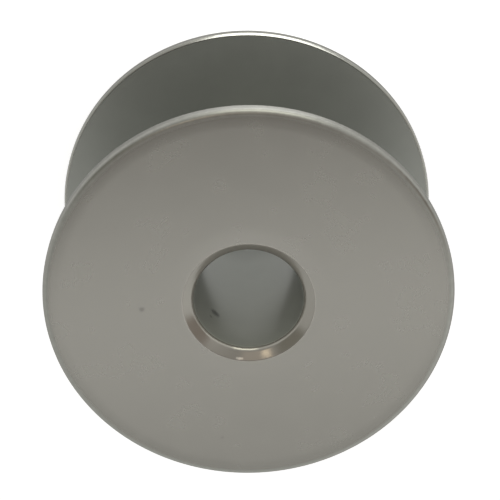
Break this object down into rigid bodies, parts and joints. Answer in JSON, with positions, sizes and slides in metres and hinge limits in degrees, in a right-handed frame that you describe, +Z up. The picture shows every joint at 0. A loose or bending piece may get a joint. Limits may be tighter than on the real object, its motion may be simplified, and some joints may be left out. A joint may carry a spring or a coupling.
{
  "type": "turned aluminium bobbin",
  "caption": "Flanged bobbin turned from solid aluminium bar: thin round flanges on a plain hub, with a bore through it for a spindle and room for thread between the flanges.",
  "frame": {"origin": "middle of the lower end face, on the bore's axis; the bobbin stands on this face", "axes": "+Z up along the bore's axis, towards the upper end face; +X and +Y lie in the lower end face, and the part is round, so they mark no feature"},
  "size_m": [0.0203, 0.0202, 0.012],
  "materials": {
    "aluminium": "satin turned faces, finely turned rims and a polished lead-in to the bore"
  },
  "bodies": {
    "root": {"bobbin": "aluminium"}
  },
  "joints": []
}
